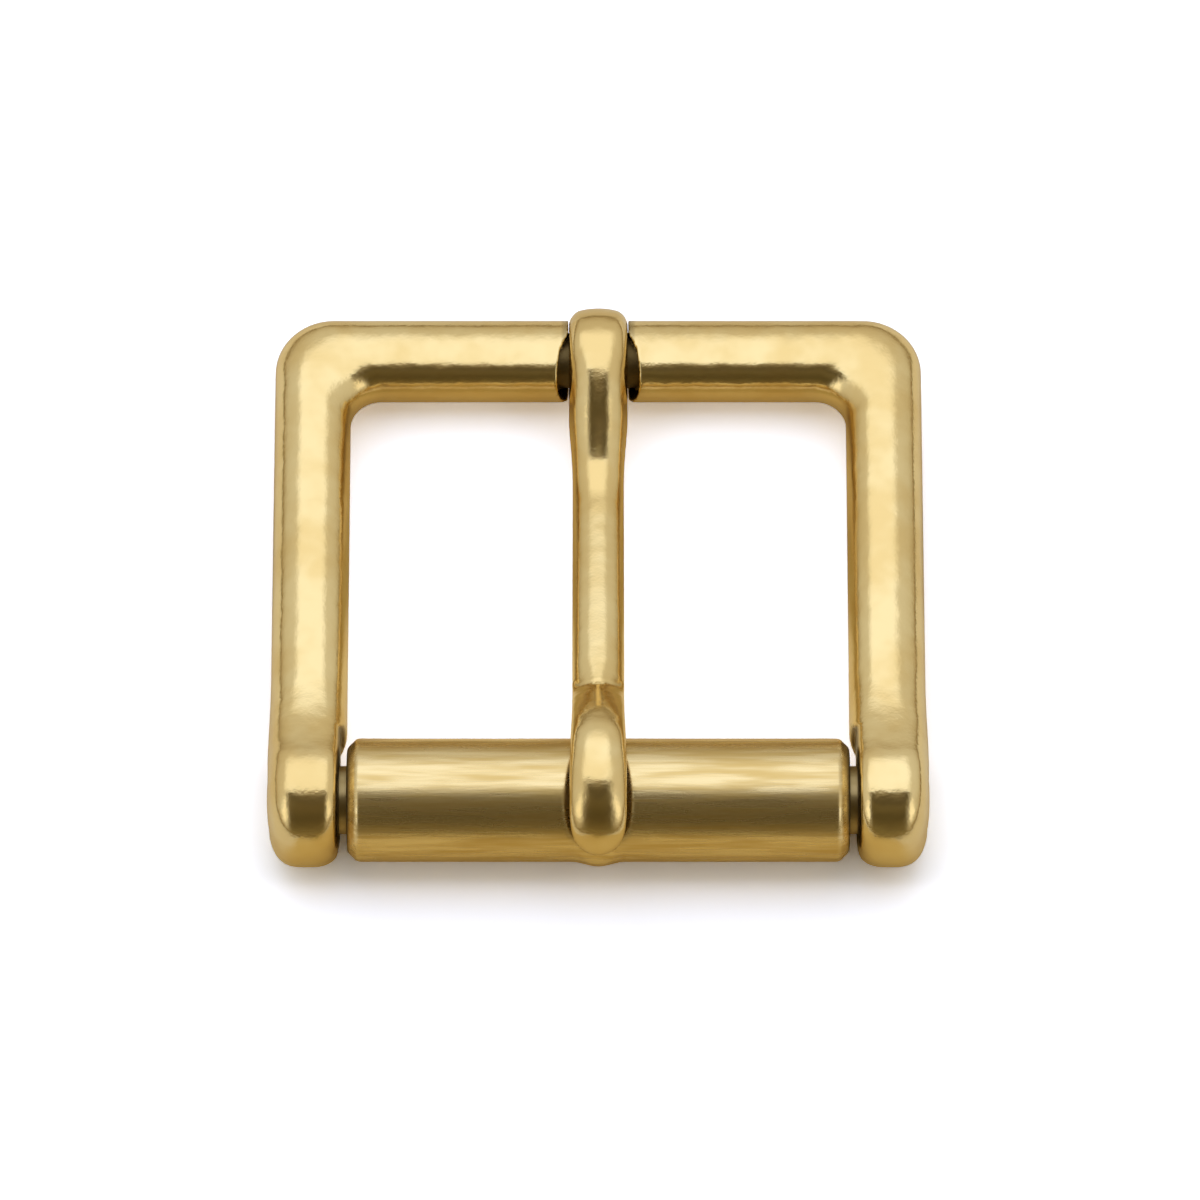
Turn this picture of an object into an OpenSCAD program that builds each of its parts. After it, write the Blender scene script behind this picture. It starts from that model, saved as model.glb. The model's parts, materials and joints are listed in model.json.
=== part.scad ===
// A roller buckle of solid brass for a 38 mm belt, lying on its back with the tongue down.
// Each piece is drawn in the frame's own plane: the roller's axis lies on X, the strap bar
// is towards +Y and +Z is the side that shows. laid() then sets the whole buckle down
// on its two ears and the tongue's hub.

/* [Frame] */
// Clear width between the two legs, where the belt passes
inner_w = 40.1; // [24:0.1:60]
// From the roller's axis to the centre line of the strap bar
reach = 39.6; // [32:0.1:60]
// Breadth of the strap bar across the frame's plane
bar_w = 6.6; // [5.8:0.1:8]
// Height of the strap bar
bar_h = 5.9; // [5.2:0.1:8]
// Breadth of a leg
leg_w = 6.15; // [5:0.05:8]
// Height of a leg
leg_h = 5.7; // [4.5:0.1:8]
// Radius of the frame's outer corners
corner_out_r = 4.5; // [4:0.1:8]
// Radius of the window's corners
corner_in_r = 2.7; // [1.5:0.1:5]
// Squareness of the bar and leg sections, where 2 is an ellipse
bar_square = 2.25; // [2:0.05:3]

/* [Ears] */
// Diameter of the round ears that carry the roller's pin
ear_d = 10.6; // [9:0.1:14]
// How far an ear stands out past its leg
ear_step = 0.15; // [0:0.05:1]
// Radius of the hollow blend from a leg into its ear
blend_r = 10; // [4:0.5:16]
// Squareness of the ears' front corners seen from above, where 2 is an ellipse
ear_square = 2.9; // [2.2:0.1:4]
// Squareness of the section through an ear, whose top is nearly flat across
crown_square = 3.9; // [2.2:0.1:4.5]
// Depth of the flat faced off inside each ear, past the leg's inner side
face_depth = 0.55; // [0.2:0.05:1]
// Room all round the roller where that flat is cut into the leg
face_room = 0.9; // [0.3:0.1:1.5]

/* [Roller and pin] */
// Outside diameter of the roller
roller_d = 9.84; // [8.6:0.02:12]
// Gap between an end of the roller and its ear
roller_end_gap = 0.6; // [0.1:0.05:1.2]
// Chamfer at each end of the roller
roller_chamfer = 0.8; // [0.2:0.1:1.5]
// Diameter of the pin that the roller turns on
pin_d = 5.44; // [3:0.02:6]
// Running clearance of the roller round the pin, on the radius
roller_clear = 0.08; // [0.04:0.01:0.2]
// Clearance of the pin in the ears, on the radius
pin_clear = 0.02; // [0.01:0.01:0.05]
// How far the pin's domed ends stand out of the ears
pin_proud = 0.04; // [0.02:0.02:0.4]
// Rounding of the pin's two ends, along its length
dome_h = 0.35; // [0.1:0.05:0.8]
// Height of the rounded band round the middle of the roller
band_h = 0.37; // [0.2:0.01:0.8]
// Width of that band
band_w = 4.4; // [2:0.1:5]
// Width of the hollow in the roller's band under the tongue's tip
seat_w = 5.3; // [4.6:0.1:7]
// Depth of that hollow below the roller's face
seat_depth = 0.85; // [0.4:0.05:1.2]
// Direction of the hollow's middle, from straight up towards the front
seat_deg = 27; // [10:1:35]

/* [Tongue] */
// Outside diameter of the hub that turns on the strap bar
hub_d = 8.66; // [7.4:0.02:10]
// Width of the hub along the strap bar
hub_w = 4.7; // [3.6:0.1:7]
// Diameter of the round neck that the hub turns on
neck_d = 4.3; // [3:0.1:5]
// Running clearance of the hub round its neck, on the radius
neck_clear = 0.08; // [0.04:0.01:0.2]
// Gap between each side of the hub and the bar's shoulder
shoulder_gap = 0.08; // [0.04:0.01:0.3]
// How far the round hollow in the bar's shoulders reaches past the hub's side
recess_w = 0.8; // [0.2:0.1:1.5]
// Width of the tongue's shaft
shaft_w = 4.15; // [3:0.05:6]
// Thickness of the tongue's shaft
shaft_t = 3.2; // [2.4:0.1:4]
// Width of the tongue where it passes over the roller
tip_w = 4.5; // [3:0.1:6]
// Thickness of the tongue over the roller
tip_t = 1.35; // [1:0.05:2]
// How far up its section the tip is widest, as a share of its thickness
tip_belly = 0.25; // [0.15:0.05:0.5]
// Gap between the tongue's tip and the roller's band
tip_clear = 0.06; // [0.03:0.01:0.2]
// Where the tip ends, from straight above the roller towards the front
tip_end_deg = 76; // [60:1:80]

/* [Hidden] */
$fn = 96;
// Points round each section of the frame and of the tongue
sides = 24;

brass = [0.80, 0.63, 0.30];
brass_light = [0.86, 0.70, 0.38];

// The window's corner and the frame's outer corner, right of the middle
window_x = inner_w / 2;
window_y = reach - bar_w / 2;
outer_x = window_x + leg_w;
outer_y = reach + bar_w / 2;

ear_r = ear_d / 2;
hub_r = hub_d / 2;
roller_r = roller_d / 2;
ear_gap = inner_w + 2 * face_depth;
roller_l = ear_gap - 2 * roller_end_gap;
ear_out_x = outer_x + ear_step;
bore_r = pin_d / 2 + pin_clear;

// The blend from leg to ear is an arc that touches the leg's top and the ear's round
leg_rise = leg_h / 2;
blend_y = sqrt(pow(ear_r + blend_r, 2) - pow(leg_rise + blend_r, 2));
blend_end_y = blend_y * ear_r / (ear_r + blend_r);

// Radius of the tip's underside, which is bent round the roller
tip_in_r = roller_r + band_h + tip_clear;

// The buckle lies on its ears and on the hub, so the strap bar is a little lower
rest_r = max(ear_r, roller_r + band_h);
lay_deg = asin((rest_r - hub_r) / reach);

// How far a cutter runs past the face that it goes through
past = 2;

function super(a, e) = sign(a) * pow(abs(a), 2 / e);
function blend(a, b, t) = a + (b - a) * t;
function ease(t) = t * t * (3 - 2 * t);

// A closed surface over a list of rings, each with the same number of points
module skin(rings) {
    n = len(rings[0]);
    last = len(rings) - 1;
    walls = [for (i = [0:last - 1], j = [0:n - 1])
        let (k = (j + 1) % n)
        each [[i * n + j, (i + 1) * n + j, (i + 1) * n + k], [i * n + j, (i + 1) * n + k, i * n + k]]];
    first_cap = [for (j = [0:n - 1]) j];
    last_cap = [for (j = [n - 1:-1:0]) last * n + j];
    polyhedron(points = [for (r = rings) each r], faces = concat([first_cap], walls, [last_cap]));
}

// One ring of the frame, from the window's side to the outer side
function frame_ring(inner, outer, rise, e) =
    let (mid = (inner + outer) / 2, half = (outer - inner) / 2)
    [for (j = [0:sides - 1])
        let (c = super(cos(360 * j / sides), e), s = super(sin(360 * j / sides), e))
        [mid.x + half.x * c, mid.y + half.y * c, rise * s]];

// Height of the leg above its middle along the blend, and then of the round ear
function ear_rise(y) = y > blend_end_y
    ? leg_rise + blend_r - sqrt(pow(blend_r, 2) - pow(blend_y - y, 2))
    : sqrt(max(0, pow(ear_r, 2) - pow(y, 2)));

// How much of the ear's full breadth is left at y, as its front rounds off
function ear_share(y) = y >= 0 ? 1 : pow(1 - pow(-y / ear_r, ear_square), 1 / ear_square);

function ear_ring(y) =
    let (t = ease(min(1, (blend_y - y) / (blend_y - blend_end_y))),
         mid = (window_x + blend(outer_x, ear_out_x, t)) / 2,
         half = (blend(outer_x, ear_out_x, t) - window_x) / 2 * ear_share(y))
    frame_ring([mid - half, y], [mid + half, y], ear_rise(y), blend(bar_square, crown_square, t));

// The rings of the right half, from the strap bar round the corner and down to the ear's
// front, where the last ring stops just short of the full half turn
ear_from = acos(blend_end_y / ear_r);
ear_to = 175;
corner_steps = 8;
blend_steps = 5;
ear_steps = 12;
corner_rings = [for (i = [0:corner_steps])
    let (a = 90 * (1 - i / corner_steps), out = [cos(a), sin(a)])
    frame_ring(
        [window_x - corner_in_r, window_y - corner_in_r] + corner_in_r * out,
        [outer_x - corner_out_r, outer_y - corner_out_r] + corner_out_r * out,
        blend(leg_h, bar_h, a / 90) / 2, bar_square)];
blend_rings = [for (i = [0:blend_steps - 1]) ear_ring(blend(blend_y, blend_end_y, i / blend_steps))];
ear_rings = [for (i = [0:ear_steps]) ear_ring(ear_r * cos(blend(ear_from, ear_to, i / ear_steps)))];
half_rings = concat(corner_rings, blend_rings, ear_rings);
other_rings = [for (i = [len(half_rings) - 1:-1:0]) [for (p = half_rings[i]) [-p.x, p.y, p.z]]];

// A cylinder along X with its middle at the origin
module rod(d, l) {
    rotate([0, 90, 0]) cylinder(d = d, h = l, center = true);
}

// The round hollow beside the hub opens the bar's shoulders at the front and top only
recess_y = 0.165 * bar_w;
recess_z = 0.09 * bar_w;
recess_r = norm([hub_w / 2 + recess_w, 0.315 * bar_w]);

module frame() {
    color(brass) {
        difference() {
            skin(concat(other_rings, half_rings));
            translate([0, reach, 0]) rod(1.5 * bar_w, hub_w + 2 * shoulder_gap);
            translate([0, reach - recess_y, recess_z]) sphere(r = recess_r);
            rod(2 * bore_r, 2 * ear_out_x + past);
            rod(roller_d + 2 * face_room, ear_gap);
        }
        translate([0, reach, 0]) rod(neck_d, hub_w + 1.2 * bar_w);
    }
}

pin_l = 2 * (ear_out_x + pin_proud);

module roller_pin() {
    color(brass_light)
    rotate([0, 90, 0])
    rotate_extrude()
    polygon([
        [0, -pin_l / 2], [0.35 * pin_d, -pin_l / 2 + 0.2 * dome_h],
        [0.47 * pin_d, -pin_l / 2 + dome_h], [0.5 * pin_d, -pin_l / 2 + 2 * dome_h],
        [0.5 * pin_d, pin_l / 2 - 2 * dome_h], [0.47 * pin_d, pin_l / 2 - dome_h],
        [0.35 * pin_d, pin_l / 2 - 0.2 * dome_h], [0, pin_l / 2]]);
}

// The band's outline is one wave of a cosine across its width
band_points = [for (i = [-8:8])
    [roller_r + band_h * (1 + cos(180 * i / 8)) / 2, i / 8 * band_w / 2]];

// The seat's cutter is part of a ring round an axis behind the roller's, so the hollow
// is deepest in its middle and runs out at both ends
seat_back = 0.264 * roller_d;
seat_span_deg = 120;
seat_in_r = roller_r - seat_depth + seat_back;
seat_tube_r = (pow(seat_w / 2, 2) + pow(seat_depth, 2)) / (2 * seat_depth);

module roller() {
    color(brass_light)
    difference() {
        rotate([0, 90, 0]) rotate_extrude() polygon(concat(
            [[pin_d / 2 + roller_clear, -roller_l / 2], [roller_r - roller_chamfer, -roller_l / 2],
             [roller_r - 0.3 * roller_chamfer, -roller_l / 2 + 0.35 * roller_chamfer],
             [roller_r, -roller_l / 2 + roller_chamfer]],
            band_points,
            [[roller_r, roller_l / 2 - roller_chamfer],
             [roller_r - 0.3 * roller_chamfer, roller_l / 2 - 0.35 * roller_chamfer],
             [roller_r - roller_chamfer, roller_l / 2], [pin_d / 2 + roller_clear, roller_l / 2]]));
        rotate([seat_deg, 0, 0])
        translate([0, 0, -seat_back])
        rotate([0, 90, 0])
        rotate([0, 0, 180 - seat_span_deg / 2])
        rotate_extrude(angle = seat_span_deg) translate([seat_in_r + seat_tube_r, 0]) circle(r = seat_tube_r);
    }
}

// Sections of the tongue from its hub along the shaft, in columns: distance from the hub's
// axis as a share of the reach, height of the top as a share of the hub's radius, thickness
// as a share of the shaft's, and breadth from the shaft's, 0, to the hub's, 1
shaft_rows = [
    [-0.030, 0.74, 0.60, 0.5],
    [0.015, 0.94, 1.13, 0.7],
    [0.044, 0.962, 1.31, 0.8],
    [0.061, 0.930, 1.45, 0.85],
    [0.076, 0.878, 1.56, 0.9],
    [0.091, 0.815, 1.57, 1],
    [0.120, 0.679, 1.465, 1.1],
    [0.148, 0.535, 1.345, 1.2],
    [0.177, 0.392, 1.235, 0.8],
    [0.206, 0.252, 1.12, 0.35],
    [0.235, 0.137, 1.03, 0.1],
    [0.268, 0.080, 0.985, 0],
    [0.304, 0.078, 0.985, 0],
    [0.345, 0.134, 0.985, 0]];

// Sections from the hollow crease to where the tongue meets the roller, in columns: angle of
// the top point from straight above the roller's axis, its height over the roller's band as a
// share of the tip's thickness, thickness as a share of the shaft's, and breadth from the
// shaft's, 0, to the tip's, 1
foot_rows = [
    [-70.1, 2.93, 1.00, 0.10],
    [-64.5, 2.54, 0.95, 0.15],
    [-55.3, 2.03, 0.86, 0.25],
    [-48.0, 1.80, 0.74, 0.35]];

// Sections bent round the roller, in columns: angle of the top point, its height over the
// band as above, the same two for the underside, and breadth as above
bend_rows = [
    [-40.5, 1.615, -50, 0.25, 0.45],
    [-29.4, 1.449, -36, 0.05, 0.6],
    [-19.1, 1.296, -22, 0, 0.75],
    [-6.3, 1.126, -7, 0, 0.9],
    [2.5, 1.03, 2.5, 0, 0.95],
    [12.1, 0.93, 12.1, 0, 1]];

// Sections of the tip itself, in columns: angle as a share of the way to the tip's end,
// thickness and breadth as shares of the tip's own
tip_rows = [
    [0.28, 0.88, 1],
    [0.40, 0.83, 1],
    [0.53, 0.79, 0.99],
    [0.66, 0.75, 0.95],
    [0.77, 0.71, 0.87],
    [0.86, 0.66, 0.75],
    [0.925, 0.58, 0.60],
    [0.97, 0.46, 0.42],
    [1.0, 0.25, 0.20]];

// A point of the tongue's middle plane at an angle and radius about the roller's axis
function about_roller(deg, r) = [-r * sin(deg), r * cos(deg)];

// One ring of the tongue, which is widest at a share, belly, of the way up from its underside
function tongue_ring(top, under, w, belly = 0.5) =
    let (mid = blend(under, top, belly))
    [for (j = [0:sides - 1])
        let (c = super(cos(360 * j / sides), bar_square), s = super(sin(360 * j / sides), bar_square),
             arm = s > 0 ? top - mid : mid - under)
        [w / 2 * c, mid[0] + arm[0] * s, mid[1] + arm[1] * s]];

// The section changes from a bar's to the tip's flat-bottomed one on its way over the roller
function belly_at(deg) = blend(0.5, tip_belly, ease(max(0, min(1, 1 + deg / 60))));

shaft_rings = [for (r = shaft_rows)
    let (top = [reach * (1 - r[0]), hub_r * r[1]])
    tongue_ring(top, top - [0, shaft_t * r[2]], blend(shaft_w, hub_w, r[3]))];
foot_rings = [for (r = foot_rows)
    let (top = about_roller(r[0], tip_in_r + tip_t * r[1]))
    tongue_ring(top, top - [0, shaft_t * r[2]], blend(shaft_w, tip_w, r[3]))];
bend_rings = [for (r = bend_rows)
    tongue_ring(about_roller(r[0], tip_in_r + tip_t * r[1]), about_roller(r[2], tip_in_r + tip_t * r[3]),
        blend(shaft_w, tip_w, r[4]), belly_at(r[0]))];
tip_rings = [for (r = tip_rows)
    tongue_ring(about_roller(tip_end_deg * r[0], tip_in_r + tip_t * r[1]),
        about_roller(tip_end_deg * r[0], tip_in_r), tip_w * r[2], tip_belly)];

// Rounding of the hub's outer edges
hub_round = 0.12 * hub_d;
hub_outline = [for (side = [1, -1], i = [0:6])
    let (a = side > 0 ? 90 - 15 * i : 15 * i)
    [hub_r - hub_round + hub_round * cos(a), side * (hub_w / 2 - hub_round + hub_round * sin(a))]];

module tongue() {
    color(brass)
    difference() {
        union() {
            translate([0, reach, 0]) rotate([0, 90, 0]) rotate_extrude()
            polygon(concat([[0.4 * neck_d, -hub_w / 2], [0.4 * neck_d, hub_w / 2]], hub_outline));
            skin(concat(shaft_rings, foot_rings, bend_rings, tip_rings));
        }
        translate([0, reach, 0]) rod(neck_d + 2 * neck_clear, hub_w + past);
    }
}

// Where the buckle's front and back lie once it is set down, to put its middle at the origin
function laid_y(p) = p[0] * cos(lay_deg) + p[1] * sin(lay_deg);
tip_tops = [for (r = tip_rows) about_roller(tip_end_deg * r[0], tip_in_r + tip_t * r[1])];
front_y = min(-ear_r, min([for (p = tip_tops) laid_y(p)]));
back_y = laid_y([reach, 0]) + hub_r;

module laid() {
    translate([0, -(front_y + back_y) / 2, rest_r]) rotate([-lay_deg, 0, 0]) children();
}

laid() frame();
laid() roller_pin();
laid() roller();
laid() tongue();
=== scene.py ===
"""A solid brass roller buckle lying on a pale table, seen from above its roller.

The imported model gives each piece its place. The frame, the tongue, the roller and the pin
are made again here at the same sizes as smooth castings and turned parts. A casting starts
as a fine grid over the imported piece, and each point then settles on a smooth formula of
that piece. Sizes are in millimetres in the buckle's own plane: the roller's axis lies on X,
the strap bar is towards +Y and +Z is the side that shows.
"""
import json
import math

import bmesh
import bpy
import numpy as np
from mathutils import Matrix, Vector


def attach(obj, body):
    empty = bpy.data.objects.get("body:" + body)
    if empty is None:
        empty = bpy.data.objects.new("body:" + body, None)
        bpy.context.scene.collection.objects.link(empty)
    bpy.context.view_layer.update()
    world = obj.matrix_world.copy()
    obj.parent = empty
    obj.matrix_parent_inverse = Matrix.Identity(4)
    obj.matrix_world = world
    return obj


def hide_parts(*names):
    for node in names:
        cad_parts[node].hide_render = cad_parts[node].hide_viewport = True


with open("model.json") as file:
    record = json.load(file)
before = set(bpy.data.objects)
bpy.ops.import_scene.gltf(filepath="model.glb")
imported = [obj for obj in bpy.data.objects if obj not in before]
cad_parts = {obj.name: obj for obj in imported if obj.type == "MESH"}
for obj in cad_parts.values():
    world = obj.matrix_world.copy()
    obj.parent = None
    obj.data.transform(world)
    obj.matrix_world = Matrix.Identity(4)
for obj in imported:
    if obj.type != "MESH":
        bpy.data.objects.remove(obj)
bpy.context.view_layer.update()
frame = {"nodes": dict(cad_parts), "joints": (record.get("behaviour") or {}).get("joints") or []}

# The frame's sizes
INNER_W = 40.1
BAR_W = 6.6
BAR_H = 5.9
LEG_W = 6.15
LEG_H = 5.7
CORNER_OUT_R = 4.5
CORNER_IN_R = 2.7
BAR_SQUARE = 2.25

# The ears' sizes
EAR_R = 5.3
EAR_STEP = 0.15
BLEND_R = 18.0
EAR_ROUND = 2.1
EAR_SQUARE = 2.9
CROWN_SQUARE = 3.9
FACE_DEPTH = 0.55
FACE_ROOM = 0.9

# The roller's and the pin's sizes
ROLLER_R = 4.92
ROLLER_END_GAP = 0.6
ROLLER_CHAMFER = 0.8
PIN_R = 2.72
ROLLER_CLEAR = 0.08
PIN_CLEAR = 0.02
PIN_PROUD = 0.04
DOME_H = 0.35
BAND_H = 0.37
BAND_W = 4.4
SEAT_W = 5.3
SEAT_DEPTH = 0.85
SEAT_DEG = 27.0
SEAT_BACK = 0.528 * ROLLER_R

# The tongue's sizes
HUB_R = 4.33
HUB_W = 4.7
HUB_PROUD = 0.03
HUB_CROWN_R = 6.2
HUB_EDGE_R = 0.94
NECK_R = 2.15
NECK_CLEAR = 0.08
SHOULDER_GAP = 0.08
RECESS_W = 0.8
SHAFT_W = 4.15
SHAFT_T = 3.2
TIP_W = 4.5
TIP_T = 1.35
TIP_BELLY = 0.15
TIP_SQUARE = 1.85
TIP_CLEAR = 0.06
TIP_END_DEG = 76.0

# Rounding of the edges where one form is cut from another, and the fillets of joins
SLOT_EDGE = 0.06
RECESS_EDGE = 0.35
FACE_EDGE = 0.45
BORE_EDGE = 0.12
RING_EDGE = 0.2
SEAT_EDGE = 0.3
CHAMFER_EDGE = 0.25
MOUTH_EDGE = 0.08
NECK_FILLET = 0.15

# Fillets from the hub to the shaft, below and above, and in the bend, in its middle and beside
HUB_FILLET = (0.4, 0.06)
BEND_FILLET = (0.5, 0.05)

# How dark the painted shade, with some dirt beside the hub, and the pin's darkening lie, from 0 to 1
SLOT_SHADE_AND_DIRT = 0.45
TIP_SHADOW = 0.6
ROLLER_END_SHADE = 0.8
SEAT_SHADE = 0.12
PIN_DARKENING = 0.6

# How far full dirt or painted shade hides the brass, and how much rougher it is
DIRT_AND_SHADE_COVER = 0.92
DIRT_AND_SHADE_ROUGH = 0.3

# Pitch of the grids that the castings start from
FRAME_GRID = 0.21
TONGUE_GRID = 0.13

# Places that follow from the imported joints
joints = {j["name"]: j for j in frame["joints"]}
axle = Vector(joints["roller_spin"]["pos_m"])
neck = Vector(joints["tongue_hinge"]["pos_m"])
REACH = (neck - axle).length * 1000
LAY = math.atan2(axle.z - neck.z, neck.y - axle.y)
LAID = Matrix.Translation(axle) @ Matrix.Rotation(-LAY, 4, "X") @ Matrix.Scale(0.001, 4)

# Sizes that follow from those above
WINDOW_X = INNER_W / 2
WINDOW_Y = REACH - BAR_W / 2
OUTER_X = WINDOW_X + LEG_W
OUTER_Y = REACH + BAR_W / 2
EAR_OUT_X = OUTER_X + EAR_STEP
EAR_GAP = INNER_W + 2 * FACE_DEPTH
ROLLER_L = EAR_GAP - 2 * ROLLER_END_GAP
BORE_R = PIN_R + PIN_CLEAR
TIP_IN_R = ROLLER_R + BAND_H + TIP_CLEAR
LEG_RISE = LEG_H / 2
SLOT_R = 0.75 * BAR_W
NECK_END_X = HUB_W / 2 + 0.5 * BAR_W
RECESS_R = math.hypot(HUB_W / 2 + RECESS_W, 0.315 * BAR_W)
RECESS_Y = REACH - 0.165 * BAR_W
RECESS_Z = 0.09 * BAR_W
BLEND_Y = math.sqrt((EAR_R + BLEND_R) ** 2 - (LEG_RISE + BLEND_R) ** 2)
BLEND_END_Y = BLEND_Y * EAR_R / (EAR_R + BLEND_R)


# Fields: a field is below zero inside a solid and about its distance in millimetres
def fuse(a, b, r):
    """Union of two fields with a hollow fillet of size r between them."""
    h = np.maximum(r - np.abs(a - b), 0) / r
    return np.minimum(a, b) - h * h * r / 4


def cut(a, b, r):
    """Field a with b taken out, and the edge between them rounded to size r."""
    return -fuse(-a, b, r)


def ease(t):
    """A smooth step from 0 to 1 as t goes from 0 to 1."""
    t = np.clip(t, 0, 1)
    return t * t * (3 - 2 * t)


def super_norm(u, v, e):
    """Distance from the middle of an oval of squareness e, which is 2 for an ellipse."""
    return (np.abs(u) ** e + np.abs(v) ** e) ** (1 / e)


def crowned_disc(x, rho, half_w, r, crown_r, edge_r):
    """Field of a disc about X with a crowned rim and rounded edges."""
    qx = np.abs(x) - (half_w - edge_r)
    qr = rho + x * x / (2 * crown_r) - (r - edge_r)
    outside = np.hypot(np.maximum(qx, 0), np.maximum(qr, 0))
    return outside + np.minimum(np.maximum(qx, qr), 0) - edge_r


def cross2(ax, ay, bx, by):
    """The cross product of two directions in a plane."""
    return ax * by - ay * bx


def rail_field(x, y, z):
    """The strap bar, the corners and the legs, down to the ears' tops."""
    in_c = np.array([WINDOW_X - CORNER_IN_R, WINDOW_Y - CORNER_IN_R])
    out_c = np.array([OUTER_X - CORNER_OUT_R, OUTER_Y - CORNER_OUT_R])
    d = out_c - in_c
    grow = CORNER_OUT_R - CORNER_IN_R
    on_leg = cross2(LEG_W, d[1], x - WINDOW_X, y - in_c[1]) < 0
    on_bar = cross2(d[0], BAR_W, x - in_c[0], y - WINDOW_Y) > 0

    # In a corner, the ray between the two arcs that the point lies on
    px, py = x - in_c[0], y - in_c[1]
    wx, wy = grow * px + CORNER_IN_R * d[0], grow * py + CORNER_IN_R * d[1]
    k = np.clip(-cross2(px, py, d[0], d[1]) / np.hypot(wx, wy), -1, 1)
    turn = np.clip(np.arctan2(wy, wx) + np.arcsin(k), 0, math.pi / 2)
    nx, ny = np.cos(turn), np.sin(turn)
    rx, ry = d[0] + grow * nx, d[1] + grow * ny
    t_corner = ((px - CORNER_IN_R * nx) * rx + (py - CORNER_IN_R * ny) * ry) / (rx * rx + ry * ry)

    ear = ease((BLEND_Y - y) / (BLEND_Y - BLEND_END_Y))
    t_leg = (x - WINDOW_X) / (LEG_W + EAR_STEP * ear)
    arc = LEG_RISE + BLEND_R - np.sqrt(np.maximum(BLEND_R**2 - np.maximum(BLEND_Y - y, 0) ** 2, 0.01))
    round_ear = np.sqrt(np.maximum(EAR_R**2 - y * y, 0.01))
    leg_rise = np.where(y > BLEND_END_Y, arc, round_ear)

    t = np.where(on_leg, t_leg, np.where(on_bar, (y - WINDOW_Y) / BAR_W, t_corner))
    share = np.where(on_leg, 0, np.where(on_bar, 1, turn / (math.pi / 2)))
    rise = np.where(on_leg, leg_rise, LEG_RISE + (BAR_H / 2 - LEG_RISE) * share)
    e = BAR_SQUARE + (CROWN_SQUARE - BAR_SQUARE) * np.where(on_leg, ear, 0)
    return (super_norm(2 * t - 1, z / rise, e) - 1) * rise


def ear_front_field(x, y, z):
    """The front half of an ear, squarer over its crown than round its front."""
    half = (EAR_OUT_X - WINDOW_X) / 2
    rho = super_norm(y, z, EAR_ROUND)
    e = EAR_SQUARE + (CROWN_SQUARE - EAR_SQUARE) * (z / np.maximum(rho, 0.1)) ** 2
    return (super_norm((x - WINDOW_X - half) / half, rho / EAR_R, e) - 1) * half


def recess_field(x, y, z):
    """The round hollow in the bar's front that shows beside the hub."""
    return np.sqrt(x * x + (y - RECESS_Y) ** 2 + (z - RECESS_Z) ** 2) - RECESS_R


def frame_field(p):
    """The whole frame, with the ears' inner faces, the pin's bore and the tongue's neck."""
    x, y, z = np.abs(p[:, 0]), p[:, 1], p[:, 2]
    from_bar, from_pin = np.hypot(y - REACH, z), np.hypot(y, z)
    slot = np.maximum(x - HUB_W / 2 - SHOULDER_GAP, from_bar - SLOT_R)
    face = np.maximum(x - EAR_GAP / 2, from_pin - ROLLER_R - FACE_ROOM)
    f = np.where(y < 0, ear_front_field(x, y, z), rail_field(x, y, z))
    f = cut(f, slot, SLOT_EDGE)
    f = cut(f, recess_field(x, y, z), RECESS_EDGE)
    f = cut(f, face, FACE_EDGE)
    f = cut(f, from_pin - BORE_R, BORE_EDGE)
    return fuse(f, np.maximum(from_bar - NECK_R, x - NECK_END_X), NECK_FILLET)


def about_roller(deg, r):
    """The place in the YZ plane at an angle from straight above the roller's axis."""
    a = math.radians(deg)
    return np.array([-r * math.sin(a), r * math.cos(a)])


def blend(a, b, t):
    return a + (b - a) * t


# Distance from the hub's axis as a share of the reach, height of the top as a share of the
# hub's radius, thickness as a share of the shaft's, breadth from shaft 0 to hub 1, squareness
SHAFT_ROWS = [
    (-0.045, 0.880, 1.05, 1.00, 3.2),
    (-0.020, 0.975, 1.10, 1.00, 3.1),
    (0.000, 1.000, 1.15, 1.00, 2.9),
    (0.0275, 0.988, 1.22, 0.98, 2.7),
    (0.044, 0.968, 1.32, 0.97, 2.5),
    (0.061, 0.931, 1.45, 0.97, 2.35),
    (0.076, 0.878, 1.54, 0.98, 2.3),
    (0.091, 0.815, 1.55, 1.00, 2.25),
    (0.120, 0.679, 1.46, 1.10, 2.2),
    (0.148, 0.533, 1.345, 1.10, 2.15),
    (0.177, 0.388, 1.235, 0.80, 2.1),
    (0.206, 0.252, 1.12, 0.40, 2.05),
    (0.235, 0.136, 1.03, 0.12, 2.0),
    (0.251, 0.093, 1.00, 0.05, 2.0),
    (0.268, 0.061, 0.985, 0.00, 2.0),
    (0.285, 0.046, 0.98, 0.00, 2.0),
    (0.304, 0.053, 0.98, 0.00, 2.0),
    (0.345, 0.116, 0.985, 0.00, 2.0),
    (0.500, 0.341, 0.99, 0.02, 2.0),
    (0.650, 0.550, 0.995, 0.05, 2.05),
    (0.705, 0.628, 1.00, 0.06, 2.0),
    (0.735, 0.670, 1.00, 0.04, 1.8),
    (0.765, 0.710, 1.00, 0.00, 1.55),
]

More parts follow.
